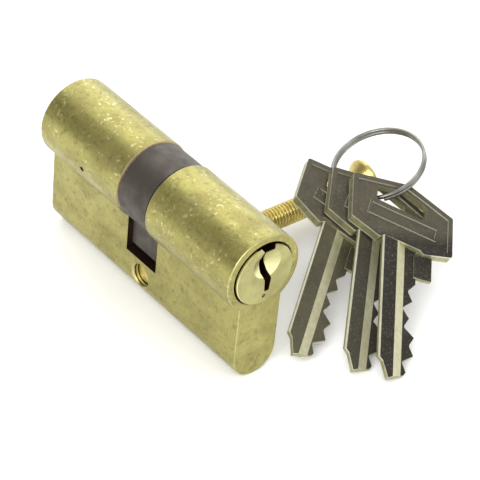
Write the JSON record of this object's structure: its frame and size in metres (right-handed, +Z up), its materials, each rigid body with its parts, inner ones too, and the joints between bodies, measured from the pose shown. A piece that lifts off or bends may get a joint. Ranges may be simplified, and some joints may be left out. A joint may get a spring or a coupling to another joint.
{
  "type": "euro profile double cylinder with keys",
  "caption": "Euro profile double cylinder lock with turning plugs, cam, fixing screw and a split ring of matching keys.",
  "frame": {"origin": "on the plugs' axis at the middle of the cam's width", "axes": "+X along the plugs' axis to the near end, +Z up with the stem hanging down, the fixing screw runs along +Y"},
  "size_m": [0.078, 0.0659, 0.033],
  "materials": {
    "brass": "lightly tarnished drawn brass, unlacquered",
    "plug_brass": "turned brass face, satin",
    "pin_brass": "turned, bright",
    "driver_steel": "hardened steel, turned",
    "spring_steel": "drawn spring wire and stamped strip",
    "dark_steel": "dark burnished steel",
    "sintered_steel": "sintered, matt",
    "yellow_zinc": "yellow zinc plated",
    "key_nickel": "nickel plated brass, satin field and bright rims",
    "ring_steel": "nickel plated spring wire"
  },
  "bodies": {
    "housing": {"housing_body": "brass", "chamber_plugs": "brass", "spring_near_1": "spring_steel", "spring_near_2": "spring_steel", "spring_near_3": "spring_steel", "spring_near_4": "spring_steel", "spring_near_5": "spring_steel", "spring_far_1": "spring_steel", "spring_far_2": "spring_steel", "spring_far_3": "spring_steel", "spring_far_4": "spring_steel", "spring_far_5": "spring_steel"},
    "plug_near": {"plug_near": "plug_brass", "circlip_near": "spring_steel"},
    "plug_far": {"plug_far": "plug_brass", "circlip_far": "spring_steel"},
    "cam": {"cam": "dark_steel"},
    "clutch": {"clutch": "sintered_steel"},
    "fixing_screw": {"fixing_screw": "yellow_zinc"},
    "split_ring": {"split_ring": "ring_steel"},
    "key_1": {"key_1": "key_nickel"},
    "key_2": {"key_2": "key_nickel"},
    "key_3": {"key_3": "key_nickel"},
    "key_pin_near_1": {"key_pin_near_1": "pin_brass"},
    "driver_near_1": {"driver_near_1": "driver_steel"},
    "key_pin_near_2": {"key_pin_near_2": "pin_brass"},
    "driver_near_2": {"driver_near_2": "driver_steel"},
    "key_pin_near_3": {"key_pin_near_3": "pin_brass"},
    "driver_near_3": {"driver_near_3": "driver_steel"},
    "key_pin_near_4": {"key_pin_near_4": "pin_brass"},
    "driver_near_4": {"driver_near_4": "driver_steel"},
    "key_pin_near_5": {"key_pin_near_5": "pin_brass"},
    "driver_near_5": {"driver_near_5": "driver_steel"},
    "key_pin_far_1": {"key_pin_far_1": "pin_brass"},
    "driver_far_1": {"driver_far_1": "driver_steel"},
    "key_pin_far_2": {"key_pin_far_2": "pin_brass"},
    "driver_far_2": {"driver_far_2": "driver_steel"},
    "key_pin_far_3": {"key_pin_far_3": "pin_brass"},
    "driver_far_3": {"driver_far_3": "driver_steel"},
    "key_pin_far_4": {"key_pin_far_4": "pin_brass"},
    "driver_far_4": {"driver_far_4": "driver_steel"},
    "key_pin_far_5": {"key_pin_far_5": "pin_brass"},
    "driver_far_5": {"driver_far_5": "driver_steel"}
  },
  "joints": [
    {"name": "plug_near_turn", "type": "hinge", "parent": "housing", "child": "plug_near", "pos_m": [0, 0, 0], "axis": [1, 0, 0], "continuous": true},
    {"name": "plug_far_turn", "type": "hinge", "parent": "housing", "child": "plug_far", "pos_m": [0, 0, 0], "axis": [1, 0, 0], "continuous": true},
    {"name": "cam_turn", "type": "hinge", "parent": "housing", "child": "cam", "pos_m": [0, 0, 0], "axis": [1, 0, 0], "continuous": true},
    {"name": "clutch_slide", "type": "slide", "parent": "cam", "child": "clutch", "axis": [-1, 0, 0], "range_m": [0, 0.0036]},
    {"name": "key_pin_near_1_lift", "type": "slide", "parent": "plug_near", "child": "key_pin_near_1", "axis": [0, 0, 1], "range_m": [0, 0.0018]},
    {"name": "driver_near_1_press", "type": "slide", "parent": "housing", "child": "driver_near_1", "axis": [0, 0, -1], "range_m": [0, 0.003], "stiffness_N_per_m": 120, "springref_m": -0.003, "deforming": ["spring_near_1"]},
    {"name": "key_pin_near_2_lift", "type": "slide", "parent": "plug_near", "child": "key_pin_near_2", "axis": [0, 0, 1], "range_m": [0, 0.0018]},
    {"name": "driver_near_2_press", "type": "slide", "parent": "housing", "child": "driver_near_2", "axis": [0, 0, -1], "range_m": [0, 0.003], "stiffness_N_per_m": 120, "springref_m": -0.003, "deforming": ["spring_near_2"]},
    {"name": "key_pin_near_3_lift", "type": "slide", "parent": "plug_near", "child": "key_pin_near_3", "axis": [0, 0, 1], "range_m": [0, 0.0018]},
    {"name": "driver_near_3_press", "type": "slide", "parent": "housing", "child": "driver_near_3", "axis": [0, 0, -1], "range_m": [0, 0.003], "stiffness_N_per_m": 120, "springref_m": -0.003, "deforming": ["spring_near_3"]},
    {"name": "key_pin_near_4_lift", "type": "slide", "parent": "plug_near", "child": "key_pin_near_4", "axis": [0, 0, 1], "range_m": [0, 0.0018]},
    {"name": "driver_near_4_press", "type": "slide", "parent": "housing", "child": "driver_near_4", "axis": [0, 0, -1], "range_m": [0, 0.003], "stiffness_N_per_m": 120, "springref_m": -0.003, "deforming": ["spring_near_4"]},
    {"name": "key_pin_near_5_lift", "type": "slide", "parent": "plug_near", "child": "key_pin_near_5", "axis": [0, 0, 1], "range_m": [0, 0.0018]},
    {"name": "driver_near_5_press", "type": "slide", "parent": "housing", "child": "driver_near_5", "axis": [0, 0, -1], "range_m": [0, 0.003], "stiffness_N_per_m": 120, "springref_m": -0.003, "deforming": ["spring_near_5"]},
    {"name": "key_pin_far_1_lift", "type": "slide", "parent": "plug_far", "child": "key_pin_far_1", "axis": [0, 0, 1], "range_m": [0, 0.0018]},
    {"name": "driver_far_1_press", "type": "slide", "parent": "housing", "child": "driver_far_1", "axis": [0, 0, -1], "range_m": [0, 0.003], "stiffness_N_per_m": 120, "springref_m": -0.003, "deforming": ["spring_far_1"]},
    {"name": "key_pin_far_2_lift", "type": "slide", "parent": "plug_far", "child": "key_pin_far_2", "axis": [0, 0, 1], "range_m": [0, 0.0018]},
    {"name": "driver_far_2_press", "type": "slide", "parent": "housing", "child": "driver_far_2", "axis": [0, 0, -1], "range_m": [0, 0.003], "stiffness_N_per_m": 120, "springref_m": -0.003, "deforming": ["spring_far_2"]},
    {"name": "key_pin_far_3_lift", "type": "slide", "parent": "plug_far", "child": "key_pin_far_3", "axis": [0, 0, 1], "range_m": [0, 0.0018]},
    {"name": "driver_far_3_press", "type": "slide", "parent": "housing", "child": "driver_far_3", "axis": [0, 0, -1], "range_m": [0, 0.003], "stiffness_N_per_m": 120, "springref_m": -0.003, "deforming": ["spring_far_3"]},
    {"name": "key_pin_far_4_lift", "type": "slide", "parent": "plug_far", "child": "key_pin_far_4", "axis": [0, 0, 1], "range_m": [0, 0.0018]},
    {"name": "driver_far_4_press", "type": "slide", "parent": "housing", "child": "driver_far_4", "axis": [0, 0, -1], "range_m": [0, 0.003], "stiffness_N_per_m": 120, "springref_m": -0.003, "deforming": ["spring_far_4"]},
    {"name": "key_pin_far_5_lift", "type": "slide", "parent": "plug_far", "child": "key_pin_far_5", "axis": [0, 0, 1], "range_m": [0, 0.0018]},
    {"name": "driver_far_5_press", "type": "slide", "parent": "housing", "child": "driver_far_5", "axis": [0, 0, -1], "range_m": [0, 0.003], "stiffness_N_per_m": 120, "springref_m": -0.003, "deforming": ["spring_far_5"]},
    {"name": "fixing_screw_out", "type": "slide", "parent": "housing", "child": "fixing_screw", "axis": [0, 1, 0], "range_m": [0, 0.06]},
    {"name": "key_set_lift", "type": "slide", "parent": "housing", "child": "split_ring", "axis": [0, 0, 1], "range_m": [0, 0.05]},
    {"name": "key_1_swing", "type": "hinge", "parent": "split_ring", "child": "key_1", "pos_m": [0.0107, 0.03917, -0.0102], "axis": [0.4602, 0.0064, 0.8878], "range_deg": [-3, 10]},
    {"name": "key_2_swing", "type": "hinge", "parent": "split_ring", "child": "key_2", "pos_m": [0.01453, 0.04056, -0.00922], "axis": [0.4602, 0.0064, 0.8878], "range_deg": [-10, 10]},
    {"name": "key_3_swing", "type": "hinge", "parent": "split_ring", "child": "key_3", "pos_m": [0.01736, 0.0435, -0.00773], "axis": [0.4602, 0.0064, 0.8878], "range_deg": [0, 10]}
  ],
  "couplings": [
    {"joint": "cam_turn", "follows": "plug_near_turn", "ratio": 1}
  ]
}
